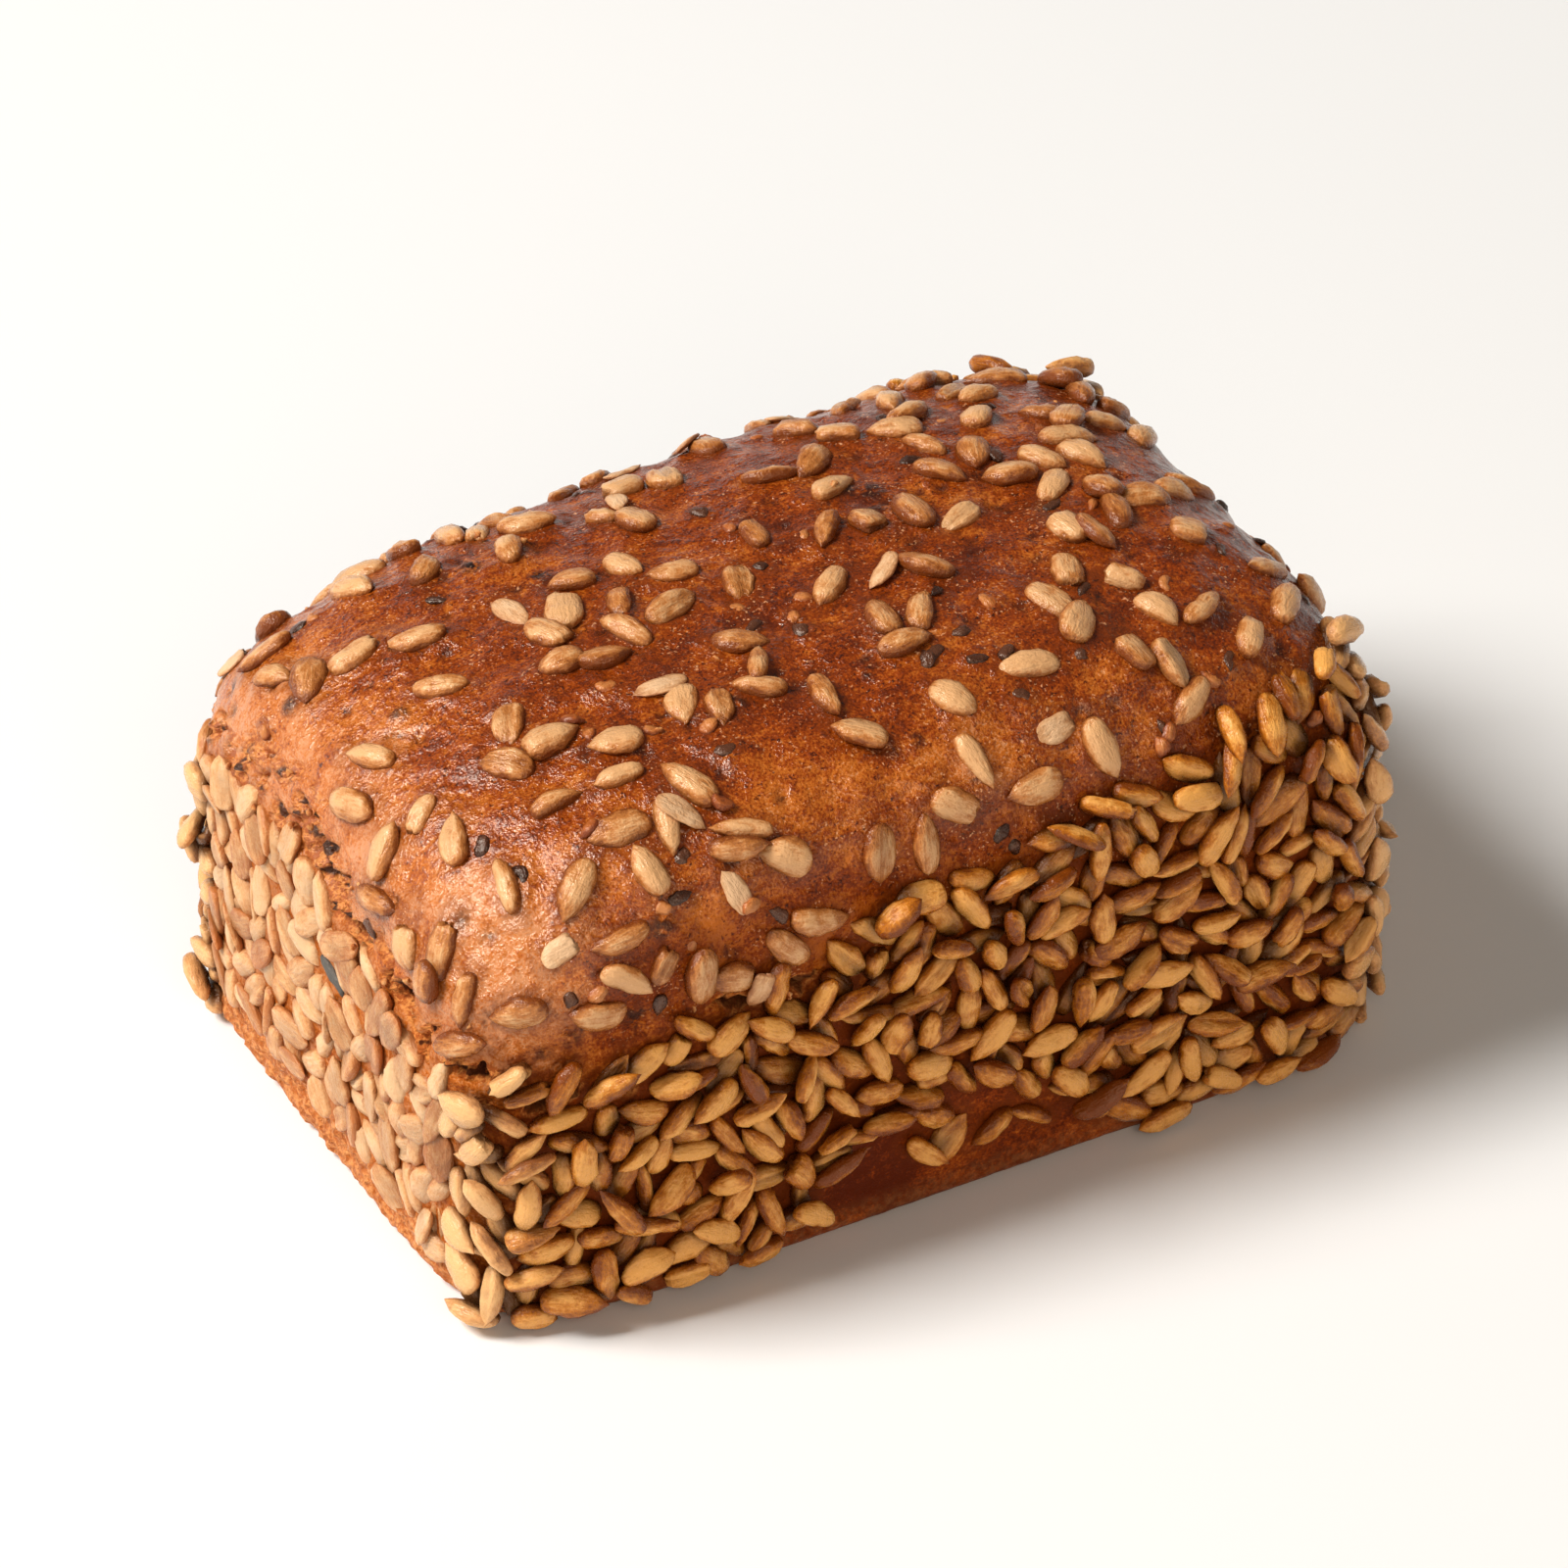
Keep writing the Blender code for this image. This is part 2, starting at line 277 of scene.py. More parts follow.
def flat_frame(up, heading):
    """Directions along and across a kernel that lies square to up."""
    side = np.cross(up, (0.0, 0.0, 1.0)) if abs(up[2]) < 0.9 else np.cross(up, (0.0, 1.0, 0.0))
    side /= np.linalg.norm(side)
    other = np.cross(up, side)
    along = math.cos(heading) * side + math.sin(heading) * other
    return along, np.cross(up, along)


def lay(draw, index, kind, size, sink, most_crowded, roll=0.0, heading=None):
    """Rests one kernel on the ground round a point of the crust. Says whether there was room."""
    centre, up = bed[index], bed_normal[index]
    along, across = flat_frame(up, draw.uniform(0.0, 2.0 * math.pi) if heading is None else heading)
    length, width, thickness = size
    broad = math.hypot(width * math.cos(roll), thickness * math.sin(roll))
    tall = math.hypot(thickness * math.cos(roll), width * math.sin(roll))
    near = np.array([i for _, i, _ in search.find_range(centre, 0.75 * length)])
    step = bed[near] - centre
    a, b = step @ along / (length / 2.0), step @ across / (broad / 2.0)
    half = girth(a)
    under = (np.abs(a) < 1.0) & (np.abs(b) < half)
    barred = kind != "crumb" and closed[near][under].mean() > 0.12
    if under.sum() < 3 or ground[near][under].mean() > most_crowded or barred:
        return False
    rise = step @ up + ground[near]
    flat = np.stack([np.ones(under.sum()), (step @ along)[under], (step @ across)[under]], axis=1)
    plane = np.linalg.lstsq(flat, rise[under], rcond=None)[0]
    slope = np.clip(plane[1:], -STEEPEST, STEEPEST)
    leaned = up - slope[0] * along - slope[1] * across
    leaned /= np.linalg.norm(leaned)
    along = along - (along @ leaned) * leaned
    along /= np.linalg.norm(along)
    across = np.cross(leaned, along)
    depth = tall / 2.0 * np.sqrt(np.clip(half[under] ** 2 - b[under] ** 2, 0.0, 1.0))
    surface = plane[0] + slope[0] * flat[:, 1] + slope[1] * flat[:, 2]
    on_dough = np.clip(1.0 - ground[near][under].mean() / (0.5 * thickness), 0.0, 1.0)
    lift = np.percentile(rise[under] - surface + depth, 90) - sink * (0.35 + 0.65 * on_dough)
    middle = centre + up * (plane[0] + lift)
    if middle[2] - length / 2.0 * abs(along[2]) - broad / 2.0 * abs(across[2]) < FLOOR_GAP:
        return False
    top = surface + lift + depth - (step @ up)[under]
    ground[near[under]] = np.maximum(ground[near[under]], top)
    outside = np.clip(np.hypot(a, b) - 1.0, 0.0, None) * width / 2.0
    collar[near] = np.maximum(collar[near], np.exp(-(outside / COLLAR_REACH) ** 2) * on_dough)
    if kind == "husk":
        closed[near[(np.abs(a) < 1.2) & (np.abs(b) < 2.2)]] = 1.0
    turned = math.cos(roll) * across + math.sin(roll) * leaned
    frame_rows = np.stack([along, turned, np.cross(along, turned)])
    laid.append({
        "kind": kind,
        "middle": middle,
        "frame": frame_rows,
        "size": size,
        "lift": plane[0] + lift,
        "seed": int(draw.integers(1 << 31)),
    })
    return True


# %% [markdown]
# ## Laying them all
#
# The long walls carry the most: a band that is thick at the base on the left, thins out in a bare patch near
# the middle of the foot, and climbs towards +X. The ends have one tight, pressed layer below the tear. The
# dome has single kernels and small groups, more of them low on its long sides and towards the right. Each
# zone is a field of chances over the crust's points, and one seeded draw picks the points.

# %% Zones of kernels
KERNEL_SIZE = np.array([9.2, 4.7, 3.1]) * MM
SLIM_SIZE = np.array([9.3, 4.1, 2.9]) * MM
END_SIZE = np.array([9.1, 4.9, 3.0]) * MM
SIZE_SPREAD = np.array([0.09, 0.15, 0.1])
FLAKE_SIZE = np.array([7.8, 3.7, 0.8]) * MM
BIT_SIZE = np.array([3.6, 2.2, 1.4]) * MM
CRUMB_SIZE = np.array([1.3, 0.9, 0.7]) * MM
LINSEED_SIZE = np.array([3.7, 2.0, 1.1]) * MM
HUSK_SIZE = np.array([8.2, 2.3, 1.3]) * MM
HUSK_PLACE = np.array([-79.0, -3.8, 38.7]) * MM
HUSK_HEADING = math.radians(-18.0)
BAND_TOP = [(-79, 44), (-66, 42), (-50, 46), (-40, 49), (-28, 49), (0, 58), (20, 61), (58, 65), (79, 66)]
WALL_TRIES = 7000
WALL_KERNELS = 412
END_TRIES = 5200
DOME_TRIES = 2600
DOME_KERNELS = 165
LINSEEDS = 54
FLAKES = 14
BITS = 44
CRUMBS = 40
FOOT_HEIGHT = 10.5 * MM
FOOT_DROP = 6.0 * MM
GROUPED_SHARE = 0.34
GROUP_REACH = 8.5 * MM
MOST_COMPANY = 2
LEADER_SPACING = 10.8 * MM

chance_draw = np.random.default_rng(41)


def near_size(draw, size):
    """One piece's own length, width and thickness."""
    return size * (1.0 + SIZE_SPREAD * draw.standard_normal(3).clip(-1.9, 1.9))


def wall_chance(points):
    """The thick band on a long wall."""
    x, _, z = points.T
    band_top = np.interp(x / MM, *zip(*BAND_TOP)) * MM + 3.0 * MM * wander(points, 16.0 * MM, 5.0)
    bare_foot = 20.0 * MM * np.exp(-((x + 1.0 * MM) / (25.0 * MM)) ** 4)
    below = 1.0 - step_up(z, band_top - 3.0 * MM, band_top + 5.0 * MM)
    return below * (0.008 + 0.992 * step_up(z, bare_foot, bare_foot + 6.0 * MM))


def foot_top(points):
    """How high the rough foot reaches on an end: less at the front corners."""
    return FOOT_HEIGHT - FOOT_DROP * step_up(-points[:, 1], 28.0 * MM, 48.0 * MM)


def end_chance(points):
    """One pressed layer on an end, below the tear and above the foot."""
    over_foot = points[:, 2] - foot_top(points)
    return step_up(over_foot, -1.0 * MM, 3.0 * MM) * (1.0 - step_up(above_tear, -5.0 * MM, -1.5 * MM))


def dome_chance(points):
    """Single kernels and groups on the dome, more of them low on its long sides and towards the right."""
    x, y, z = points.T
    low_side = step_up(np.abs(y), 22.0 * MM, 48.0 * MM)
    right = step_up(x, 20.0 * MM, 75.0 * MM)
    high = step_up(z, RIM_HEIGHT + 1.0 * MM, RIM_HEIGHT + 9.0 * MM)
    return high * (0.5 + 0.45 * low_side + 0.25 * right) * (1.0 - torn)


def picks(draw, mask, chance, count):
    """Draws points of the crust, each as likely as its chance says."""
    weight = np.where(mask, chance, 0.0)
    return draw.choice(len(bed), size=count, p=weight / weight.sum())


def lay_walls(draw):
    """Both long walls: first a layer on the crust, then kernels leaning on it."""
    chance = wall_chance(bed)
    for mask in (on_front, on_back):
        done = 0
        for number, index in enumerate(picks(draw, mask, chance, WALL_TRIES)):
            crowded = (0.45 if number < WALL_TRIES * 0.55 else 1.5) * MM
            roll = math.radians(draw.normal(0.0, 34.0))
            if done < WALL_KERNELS:
                done += lay(draw, index, "wall", near_size(draw, SLIM_SIZE), 0.6 * MM, crowded, roll)


def lay_ends(draw):
    """Both ends: one tight layer, pressed by the tin."""
    chance = end_chance(bed)
    for mask in (on_left, on_right):
        for number, index in enumerate(picks(draw, mask, chance, END_TRIES)):
            crowded = (0.14 if number < END_TRIES * 0.8 else 0.7) * MM
            roll = math.radians(draw.normal(0.0, 10.0))
            heading = math.radians(90.0 * draw.choice([-1.0, 1.0]) + draw.normal(0.0, 50.0))
            lay(draw, index, "end", near_size(draw, END_SIZE), 1.5 * MM, crowded, roll, heading)


def lay_dome(draw):
    """The dome: single kernels that keep apart, some of them with one or two beside them."""
    chance = dome_chance(bed)
    everywhere = np.ones(len(bed), dtype=bool)
    leaders, company, done = [], [], 0
    for index in picks(draw, everywhere, chance, DOME_TRIES):
        joins = bool(leaders) and draw.random() < GROUPED_SHARE
        if joins:
            leader = draw.integers(len(leaders))
            ring = [i for _, i, d in search.find_range(leaders[leader], GROUP_REACH) if d > 0.6 * GROUP_REACH]
            index = ring[draw.integers(len(ring))]
            if company[leader] >= MOST_COMPANY:
                continue
        elif leaders:
            spacing = LEADER_SPACING * (1.3 - 0.5 * chance[index])
            if np.linalg.norm(np.array(leaders) - bed[index], axis=1).min() < spacing:
                continue
        room = (0.02 if draw.random() < 0.7 else 0.6) * MM
        roll = math.radians(draw.normal(0.0, 12.0))
        if done < DOME_KERNELS and lay(draw, index, "dome", near_size(draw, KERNEL_SIZE), 1.0 * MM, room, roll):
            done += 1
            if joins:
                company[leader] += 1
            else:
                leaders.append(bed[index])
                company.append(0)


def lay_small(draw, kind, size, count, sink, most_crowded, chance):
    """Small things between the kernels."""
    everywhere = np.ones(len(bed), dtype=bool)
    done = 0
    for index in picks(draw, everywhere, chance, 9 * count):
        if done < count:
            done += lay(draw, index, kind, near_size(draw, size), sink, most_crowded)


def lay_husk(draw):
    """One dark sliver of husk, pressed into the left end."""
    lay(draw, search.find(HUSK_PLACE)[1], "husk", HUSK_SIZE, 0.1 * MM, 9.0 * MM, 0.0, HUSK_HEADING)


lay_husk(chance_draw)
lay_walls(chance_draw)
lay_ends(chance_draw)
lay_dome(chance_draw)
beside_kernels = dome_chance(bed) * (0.25 + collar)
lay_small(chance_draw, "linseed", LINSEED_SIZE, LINSEEDS, 0.35 * MM, 0.3 * MM, beside_kernels)
lay_small(chance_draw, "flake", FLAKE_SIZE, FLAKES, 0.1 * MM, 0.9 * MM, dome_chance(bed) + 0.3 * wall_chance(bed))
lay_small(chance_draw, "bit", BIT_SIZE, BITS, 0.7 * MM, 0.5 * MM, beside_kernels + 0.2 * wall_chance(bed))
near_tear = np.exp(-(above_tear / (5.0 * MM)) ** 2) * along_rim(bed, OPEN_ALONG_END, OPEN_ALONG_SIDE)
lay_small(chance_draw, "crumb", CRUMB_SIZE, CRUMBS, 0.3 * MM, 2.0 * MM, near_tear + 0.05 * dome_chance(bed))
kinds = sorted({piece["kind"] for piece in laid})
print("laid:", {kind: sum(piece["kind"] == kind for piece in laid) for kind in kinds})

# %% [markdown]
# ## The crust takes its shape
#
# Now the grid gets its real relief: dough that crept up round each kernel, the tear with its raised lip, a
# rough foot where the dough met the tin's floor, and blisters and pits, over the slow waver of a hand-shaped
# loaf that the grid already has.
# The points keep a few numbers with them, which the crust's colour and gloss read later: how strongly the
# place was baked, with painted light added on the dome's front, how torn, how rough, and where painted shade
# falls round the kernels and in the cracks.

# %% Relief of the crust
COLLAR_HEIGHT = 0.3 * MM
PRESSED_COLLAR = 0.45 * MM
BLISTERS = 34
PITS = 170
mark_draw = np.random.default_rng(8)

x, y, z = bed.T
at_end = end_share(bed)
wall_share = 1.0 - step_up(z, RIM_HEIGHT - 2.0 * MM, RIM_HEIGHT + 14.0 * MM)
foot = 1.0 - step_up(z - foot_top(bed), -2.0 * MM, 2.5 * MM)
low_side = step_up(np.abs(y), 28.0 * MM, 44.0 * MM) * step_up(x, -70.0 * MM, -46.0 * MM)
dull_from = RIM_HEIGHT - 2.0 * MM + 17.0 * MM * low_side
dull_share = 1.0 - step_up(z, dull_from, dull_from + 16.0 * MM)
relief = collar * (COLLAR_HEIGHT + (PRESSED_COLLAR - COLLAR_HEIGHT) * at_end * wall_share)
relief += foot * step_up(z, 0.0, 2.5 * MM) * (0.4 + 0.6 * at_end) * 0.9 * MM * wander(bed, 2.2 * MM, 6.0, 2)
relief += LIP_HEIGHT * np.exp(-((above_tear - 2.4 * MM) / (1.8 * MM)) ** 2) * np.clip(torn * 4.0, 0.0, 1.0)
relief -= TEAR_DEPTH * torn * (0.75 + 1.2 * wander(bed, 2.4 * MM, 8.0, 2))


def mark(count, smallest, largest, height, sharpness):
    """Round marks scattered over the dome: how strongly each point is marked. Raises or sinks them too."""
    marked = np.zeros(len(bed))
    dome_points = np.flatnonzero(z > RIM_HEIGHT + 4.0 * MM)
    for index in mark_draw.choice(dome_points, size=count, replace=False):
        radius = mark_draw.uniform(smallest, largest)
        near = np.array([i for _, i, _ in search.find_range(bed[index], 2.0 * radius)])
        far = np.linalg.norm(bed[near] - bed[index], axis=1) / radius
        marked[near] = np.maximum(marked[near], np.exp(-far ** sharpness))
    return marked, height * marked


blister, blister_relief = mark(BLISTERS, 1.0 * MM, 2.4 * MM, 0.35 * MM, 4.0)
pit, pit_relief = mark(PITS, 0.7 * MM, 1.5 * MM, -0.55 * MM, 2.0)
relief += blister_relief + pit_relief
relief[z <= 0.0] = 0.0
shaped = bed + bed_normal * relief[:, None]
shaped[:, 2] = np.maximum(shaped[:, 2], 0.0)
move_points(crust_mesh, shaped)
crust_mesh.shade_smooth()

dome_bake_and_front_light = 0.66 - 0.5 * step_up(-x, 54.0 * MM, 76.0 * MM) + 0.06 * step_up(x, 10.0 * MM, 70.0 * MM)
# Painted light: the dome's front, which faces the front lamp, is made paler.
dome_bake_and_front_light -= 0.15 * step_up(-y, 26.0 * MM, 48.0 * MM)
side_bake = 0.86 + (0.16 - 0.86) * at_end
low_share = 1.0 - step_up(z, RIM_HEIGHT - 7.0 * MM, RIM_HEIGHT + 4.0 * MM)
bake = dome_bake_and_front_light + (side_bake - dome_bake_and_front_light) * low_share + 0.2 * wander(bed, 15.0 * MM, 12.0, 2)
edges = np.empty(len(crust_mesh.edges) * 2, dtype=np.int32)
crust_mesh.edges.foreach_get("vertices", edges)
edges = edges.reshape(-1, 2)


def blurred(values, rounds):
    """Evens a number out over neighbouring points of the crust."""
    near_count = np.bincount(edges.ravel(), minlength=len(values))
    for _ in range(rounds):
        total = np.bincount(edges[:, 0], values[edges[:, 1]], len(values))
        total += np.bincount(edges[:, 1], values[edges[:, 0]], len(values))
        values = 0.5 * values + 0.5 * total / near_count
    return values


pile = blurred(ground, 14)


def keep_number(mesh, name, values):
    """Stores one number for each point of a mesh, for its material to read."""
    layer = mesh.attributes.new(name, "FLOAT", "POINT")
    layer.data.foreach_set("value", np.asarray(values, dtype=np.float32))


crust_numbers = {
    "bake": bake,
    "torn": torn,
    "crack": torn * (1.0 - at_end),
    "foot": foot * (0.25 + 0.75 * at_end),
    "blister": blister,
    "pit": pit,
    "wall": wall_share,
    "dull": dull_share,
    # Painted shade on the crust next to each kernel and under the thick piles.
    "contact": np.clip(
        collar * (0.6 + 0.4 * wall_share) * (1.0 - 0.55 * at_end * wall_share) + (pile - 0.7 * MM).clip(0.0) / (1.4 * MM) * (1.0 - at_end), 0.0, 1.0
    ),
}
for name, values in crust_numbers.items():
    keep_number(crust_mesh, name, values)
print("relief from", round(relief.min() / MM, 2), "to", round(relief.max() / MM, 2), "mm")

# %% [markdown]
# ## The kernels themselves
#
# A hulled sunflower kernel is a plump drop: blunt at one end, pointed at the other, a little flattened, with
# faint ridges along it. One sphere from Blender gives the faces, and a formula moves its points for each
# kernel, so that every kernel has its own length, bend, dents and ridges. Some have split open along the top,
# and some have lost their point. All kernels of a kind are joined in one mesh.

# %% Shape of a kernel
SPHERE_SIDES = 12
SPHERE_RINGS = 11
SQUARENESS = 0.84
BEAK_START = 0.9
BEAK_WIDTH = 0.27
PRESSED_TOP = 1.3 * MM
PRESSED_GIVE = 0.72
BURIED_DEPTH = 1.7 * MM
BROKEN_SHARE = 0.12
SPLIT_SHARE = 0.12


def unit_sphere(sides, rings):
    """Points and faces of a sphere with its poles on Z."""
    ball = bmesh.new()
    bmesh.ops.create_uvsphere(ball, u_segments=sides, v_segments=rings, radius=1.0)
    points = np.array([vert.co[:] for vert in ball.verts])
    faces = [[vert.index for vert in face.verts] for face in ball.faces]
    ball.free()
    return points, faces


sphere_points, sphere_faces = unit_sphere(SPHERE_SIDES, SPHERE_RINGS)
# How near the sides and tips each point of a kernel lies; the kernels' material paints shade there with it.
edge = np.abs(sphere_points[:, 1]) / np.maximum(np.hypot(sphere_points[:, 0], sphere_points[:, 1]), 1e-6)
edge = np.maximum(edge ** 3, np.abs(sphere_points[:, 2]) ** 7)


def kernel_points(piece):
    """A kernel's points in its own directions: along, across and up."""
    own = np.random.default_rng(piece["seed"])
    length, width, thickness = piece["size"]
    turn = np.arctan2(sphere_points[:, 1], sphere_points[:, 0])
    along = sphere_points[:, 2]
    tip, butt = (0.12, 0.12) if piece["kind"] == "husk" else (own.uniform(0.44, 0.66), own.uniform(0.34, 0.46))
    beak = np.where(along > 0.0, BEAK_WIDTH * (1.0 - along.clip(-1.0, 1.0)) ** 0.4, 0.0)
    ring = np.maximum(girth(np.where(along > 0.0, along / BEAK_START, along), tip, butt), beak)
    if own.random() < BROKEN_SHARE:
        ragged = 0.06 * np.sin(3.0 * turn + 6.0 * own.random()) + 0.05 * np.sin(7.0 * turn + 6.0 * own.random())
        lost = own.uniform(0.15, 0.65) + ragged
        along = np.where(along > lost, lost + 0.06 * (along - lost), along)
    ridges = 1.0 + 0.025 * np.cos(6.0 * turn + 6.0 * own.random()) + 0.035 * np.cos(3.0 * turn + 9.0 * own.random())
    across = width / 2.0 * ring * np.sign(np.sin(turn)) * np.abs(np.sin(turn)) ** SQUARENESS * ridges
    up = thickness / 2.0 * ring ** 0.8 * np.sign(np.cos(turn)) * np.abs(np.cos(turn)) ** SQUARENESS * ridges
    across += own.uniform(-0.6, 0.6) * MM * (along ** 2 - 0.3)
    up += own.uniform(-0.4, 0.25) * MM * along ** 2
    spots = np.stack([along * 2.2, across / MM * 0.55, up / MM * 0.55], axis=1)
    dents = wander(spots, 1.0, own.uniform(0.0, 400.0), 2)
    across += 0.3 * MM * dents * np.sin(turn) * ring
    up += 0.3 * MM * dents * np.cos(turn) * ring
    if own.random() < SPLIT_SHARE and thickness > 2.0 * MM:
        groove = np.exp(-(across / (0.55 * MM)) ** 2) * np.clip(1.0 - along ** 4, 0.0, 1.0)
        up -= np.where(np.cos(turn) > 0.0, 0.8 * MM * groove, 0.0)
    return np.stack([along * length / 2.0, across, up], axis=1)


def press(points, piece):
    """Flattens what the tin pressed: little stands further out than PRESSED_TOP above the crust."""
    over = np.clip(points[:, 2] + piece["lift"] - PRESSED_TOP, 0.0, None)
    points[:, 2] -= over * PRESSED_GIVE
    return points


def buried_share(places):
    """How deep each point lies below the top of the pile round it, 0 to 1: where the material paints shade in the gaps.
    """
    below = np.array([search.find(place)[1] for place in places])
    height = ((places - bed[below]) * bed_normal[below]).sum(axis=1)
    return np.clip((pile[below] - height) / BURIED_DEPTH + 0.15, 0.0, 1.0)


def join_pieces(name, kind):
    """One mesh of every piece of a kind, with a few numbers for its points that its material reads."""
    places, faces, tones, pales, heights, grains = [], [], [], [], [], []
    for piece in (piece for piece in laid if piece["kind"] == kind):
        points = kernel_points(piece)
        if kind == "end":
            points = press(points, piece)
        offset = len(places) * len(points)
        faces.extend([offset + corner for corner in face] for face in sphere_faces)
        places.append(piece["middle"] + points @ piece["frame"])
        own = np.random.default_rng(piece["seed"] + 1)
        # Wall kernels near the ends are made paler, partly to blend into the pressed kernels there, partly as painted
        # light.
        near_end = float(end_share(piece["middle"][None])[0]) if kind == "wall" else 0.0
        tones.append(np.full(len(points), own.random() * (1.0 - 0.5 * near_end) - 0.25 * near_end))
        pales.append(np.full(len(points), near_end))
        # Height across the kernel, which the material uses for painted light on top and painted shade below.
        heights.append(points[:, 2] / piece["size"][2] + 0.5)
        grains.append(points / MM + own.uniform(-500.0, 500.0, 3))
    mesh = bpy.data.meshes.new(name)
    places = np.concatenate(places)
    mesh.from_pydata(places.tolist(), [], faces)
    mesh.shade_smooth()
    keep_number(mesh, "buried", buried_share(places))
    keep_number(mesh, "tone", np.concatenate(tones))
    keep_number(mesh, "pale", np.concatenate(pales))
    keep_number(mesh, "height", np.concatenate(heights))
    keep_number(mesh, "edge", np.tile(edge, len(tones)))
    layer = mesh.attributes.new("grain", "FLOAT_VECTOR", "POINT")
    layer.data.foreach_set("vector", np.concatenate(grains).astype(np.float32).ravel())
    print(name, len(tones), "pieces,", sum(len(face) - 2 for face in faces), "triangles")
    return mesh


piece_names = {
    "wall": "wall_kernels",
    "end": "pressed_kernels",
    "dome": "dome_kernels",
    "flake": "kernel_flakes",
    "bit": "kernel_bits",
    "linseed": "linseeds",
    "husk": "husk_sliver",
    "crumb": "crumbs",
}
piece_meshes = {kind: join_pieces(name, kind) for kind, name in piece_names.items()}

# %% [markdown]
# ## Writing shader maths
#
# A material is a net of nodes, and drawing it node by node hides what it works out. One small class wraps an
# output socket, so that an expression such as 1 - mask adds its Math node by itself. Every other node comes
# from one method: its type, its settings, then the values of its sockets.

# %% A wire between nodes
class Wire:
    """An output socket of a material's nodes that can be used like a number."""

    def __init__(self, tree, socket=None):
        self.tree = tree
        self.socket = socket

    def node(self, kind, settings=None, sockets=None, output=0):
        """Adds a node, sets it, fills its sockets, and gives one of its outputs."""
        made = self.tree.nodes.new("ShaderNode" + kind)
        for name, value in (settings or {}).items():
            if name == "stops":
                set_stops(made.color_ramp, value)
            else:
                setattr(made, name, value)
        for key, value in (sockets or {}).items():
            if isinstance(value, Wire):
                self.tree.links.new(value.socket, made.inputs[key])
            else:
                made.inputs[key].default_value = value
        return Wire(self.tree, made.outputs[output])

    def maths(self, operation, first, second):
        return self.node("Math", {"operation": operation}, {0: first, 1: second})

    def __add__(self, other):
        return self.maths("ADD", self, other)

    def __sub__(self, other):
        return self.maths("SUBTRACT", self, other)

    def __rsub__(self, other):
        return self.maths("SUBTRACT", other, self)

    def __mul__(self, other):
        return self.maths("MULTIPLY", self, other)

    def __pow__(self, other):
        return self.maths("POWER", self, other)

    __radd__ = __add__
    __rmul__ = __mul__

    def size(self):
        """The same number without its sign."""
        return self.node("Math", {"operation": "ABSOLUTE"}, {0: self})

    def clamped(self):
        """The same number, held between 0 and 1."""
        return self.node("Clamp", None, {"Value": self})

    def between(self, low, high):
        """0 where the number is below low, 1 above high, and a smooth rise between."""
        settings = {"interpolation_type": "SMOOTHSTEP"}
        return self.node("MapRange", settings, {"Value": self, "From Min": low, "From Max": high})

    def blend(self, first, second, how="MIX"):
        """Mixes two colours by this number."""
        sockets = {"Factor": self, 6: first, 7: second}
        return self.node("Mix", {"data_type": "RGBA", "blend_type": how}, sockets, 2)


def set_stops(ramp, stops):
    """Gives a colour ramp its stops: pairs of a position and a colour."""
    while len(ramp.elements) < len(stops):
        ramp.elements.new(1.0)
    for element, (position, colour) in zip(ramp.elements, stops):
        element.position = position
        element.color = (*colour, 1.0)


def new_material(name):
    """A material with a Principled shader, its wire to build on, and that shader."""
    material = bpy.data.materials.new(name)
    material.use_nodes = True
    tree = material.node_tree
    return material, Wire(tree), tree.nodes["Principled BSDF"]


def plug(tree, value, socket):
    """Links a wire to a shader's socket, or sets a plain number there."""
    if isinstance(value, Wire):
        tree.links.new(value.socket, socket)
    else:
        socket.default_value = value


# %% [markdown]
# ## Baked crust
#
# Rye crust is not one brown. It goes from orange tan on the ends through amber to a dark, reddish mahogany
# on the crown, in streaky patches a few millimetres wide, with dark blisters and pits, and it is painted a little
# paler on the dome's front as painted light. Up close it has fine wrinkles and a sugary grain that glitters,
# with pale painted highlights in its colour as well. Round and under the kernels it carries painted shade. The
# dome is glossy and the walls are dull. In the tear the crumb shows golden, with painted shade in its holes
# and along the narrow cracks on the long sides.

# %% Crust material
WARM_GLEAM = (1.0, 0.87, 0.75)
GLAZE_MIRROR = 0.7
DULL_MIRROR = 0.1
WALL_TAN = (0.6, 0.235, 0.09)
AMBER = (0.54, 0.145, 0.016)
RED_BROWN = (0.27, 0.04, 0.0015)
MAHOGANY = (0.1, 0.012, 0.001)
SHADE_BROWN = (0.16, 0.027, 0.002)
CHAR = (0.018, 0.006, 0.004)
CRUMB = (0.66, 0.235, 0.055)
CRUMB_SHADE = (0.36, 0.085, 0.016)
GRIT_PALE = (0.76, 0.32, 0.11)
GRIT_DEEP = (0.42, 0.11, 0.024)
PAINTED_GLINT = (0.82, 0.4, 0.19)
PORE_SHADE = (0.06, 0.013, 0.003)


